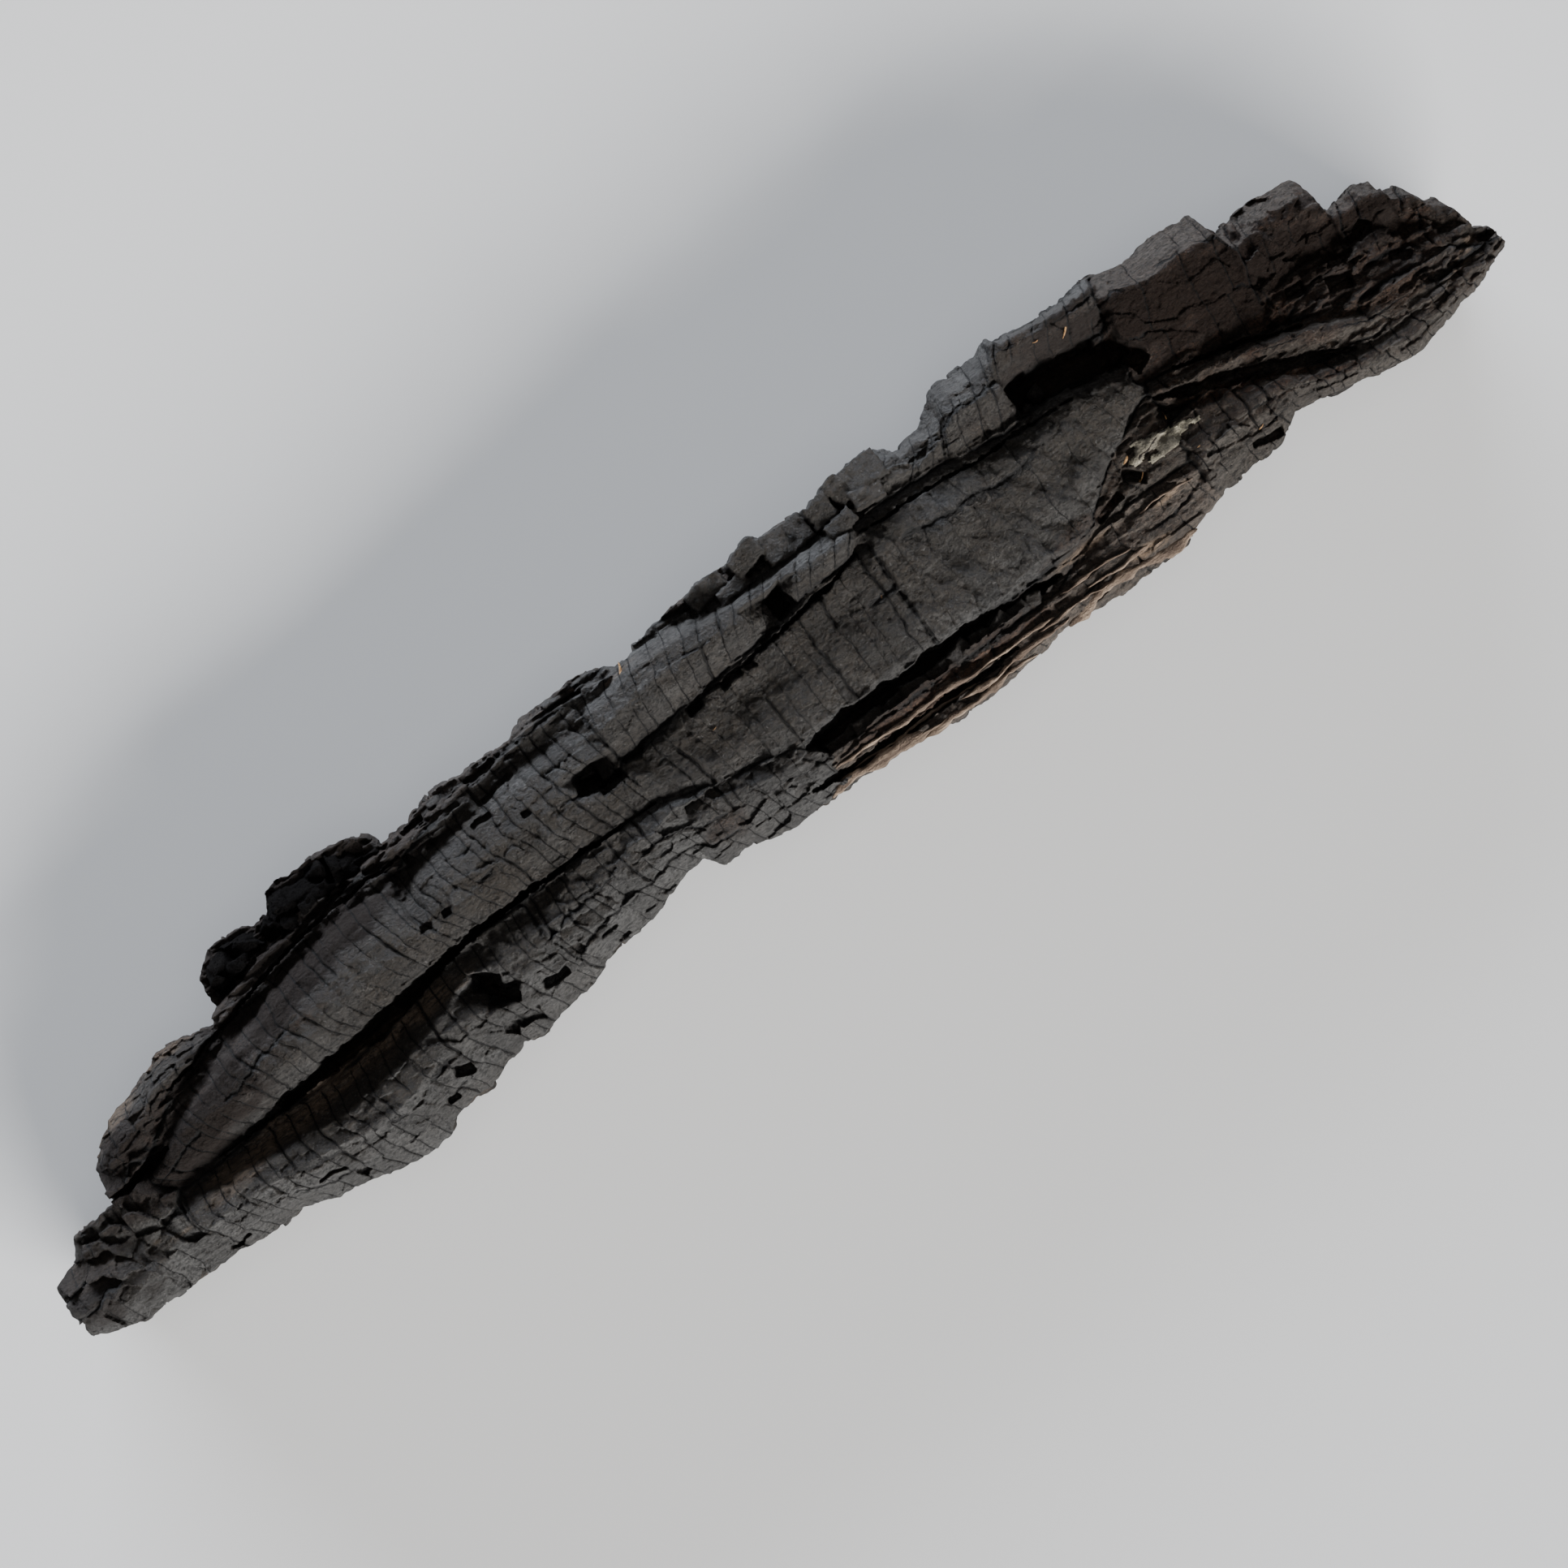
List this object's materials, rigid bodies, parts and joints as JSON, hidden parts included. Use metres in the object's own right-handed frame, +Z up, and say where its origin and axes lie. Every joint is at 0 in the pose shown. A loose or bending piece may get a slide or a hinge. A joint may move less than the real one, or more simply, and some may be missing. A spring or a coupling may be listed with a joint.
{
  "type": "charred wood stick",
  "caption": "Long split stick of part-burnt wood, its charcoal cracked into ridges, plates and blocks over a sound heartwood band, lying on a flat underside.",
  "frame": {"origin": "on the surface that the stick rests on, at the middle of its footprint's box", "axes": "+X along the stick towards the burnt hollow end, +Y towards the edge with the long rolls, +Z up from the resting face"},
  "size_m": [0.6, 0.109, 0.061],
  "materials": {
    "char": "matte charcoal, finely checked",
    "brown_char": "matte, part-charred, brown in the hollows",
    "heartwood": "matte scorched wood",
    "pale_wood": "matte split fibres",
    "lichen": "dry matte crust",
    "needle_litter": "dry matte"
  },
  "bodies": {
    "root": {"left_end_stub": "char", "curled_lip": "char", "left_lower_ridge": "char", "middle_lower_ridge": "char", "left_upper_ridge": "char", "middle_upper_ridge": "char", "trough_plate_left": "char", "trough_plate_right": "char", "middle_top_roll": "char", "knot_lump_outer": "char", "knot_lump_inner": "char", "top_edge_flakes": "char", "back_edge_band": "char", "right_roll_root": "char", "right_roll_bridge": "char", "right_roll_wall": "char", "underside_char_1": "char", "underside_char_2": "char", "underside_char_3": "char", "underside_char_4": "char", "top_edge_blocks": "char", "split_crumbs": "char", "fractured_wall": "brown_char", "hollow_rim": "brown_char", "long_strand": "brown_char", "right_lower_slab": "brown_char", "brown_shoulder": "brown_char", "heartwood_core": "heartwood", "sapwood_slab": "pale_wood", "pale_splinters": "pale_wood", "lichen_crust": "lichen", "litter_flecks": "needle_litter"}
  },
  "joints": []
}
